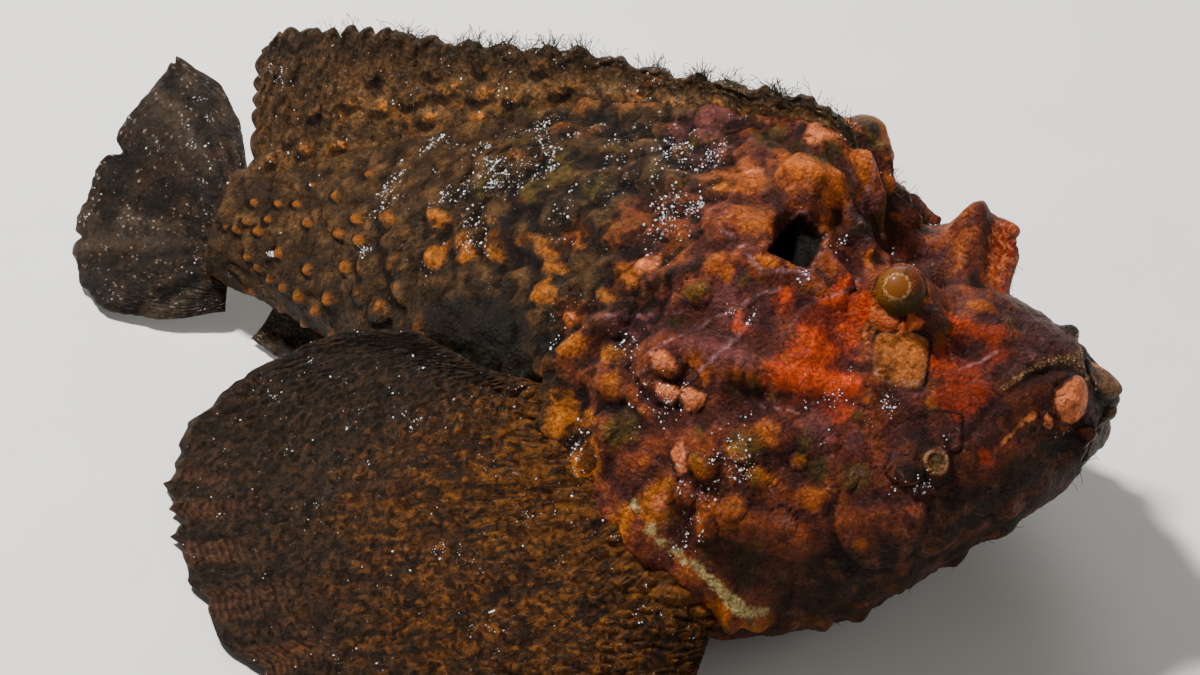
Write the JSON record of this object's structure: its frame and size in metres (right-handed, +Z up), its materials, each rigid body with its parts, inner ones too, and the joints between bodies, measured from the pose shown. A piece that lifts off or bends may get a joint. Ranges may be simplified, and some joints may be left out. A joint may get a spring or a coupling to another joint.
{
  "type": "stonefish model",
  "caption": "Life-size reef stonefish lying still on the ground: warty body leaning to its left, broad fins spread, upturned mouth and small raised eyes.",
  "frame": {"origin": "bottom centre of the whole animal's bounding box, on the ground it lies on", "axes": "+X towards the head, +Y towards the fish's left side, +Z up"},
  "size_m": [0.3016, 0.2374, 0.1079],
  "materials": {
    "head_skin": "wet warty skin, red-orange with lilac grey lines and dark patches",
    "body_skin": "wet warty skin, dark brown with orange warts and pale sand specks",
    "dark_fin": "thick wet fin skin, blackish brown with faint bands",
    "brown_fin": "thick wet fin skin, chocolate brown with golden brown mottling",
    "eye": "clear, domed, amber brown with a pale ring"
  },
  "bodies": {
    "root": {"head": "head_skin", "lower_jaw": "head_skin", "trunk": "body_skin", "tail": "body_skin", "dorsal_fin_spiny": "dark_fin", "dorsal_fin_soft": "dark_fin", "caudal_fin": "dark_fin", "anal_fin": "dark_fin", "pectoral_fin_R": "brown_fin", "pectoral_fin_L": "brown_fin", "pelvic_fin_R": "brown_fin", "pelvic_fin_L": "brown_fin", "eye_R": "eye", "eye_L": "eye"}
  },
  "joints": []
}
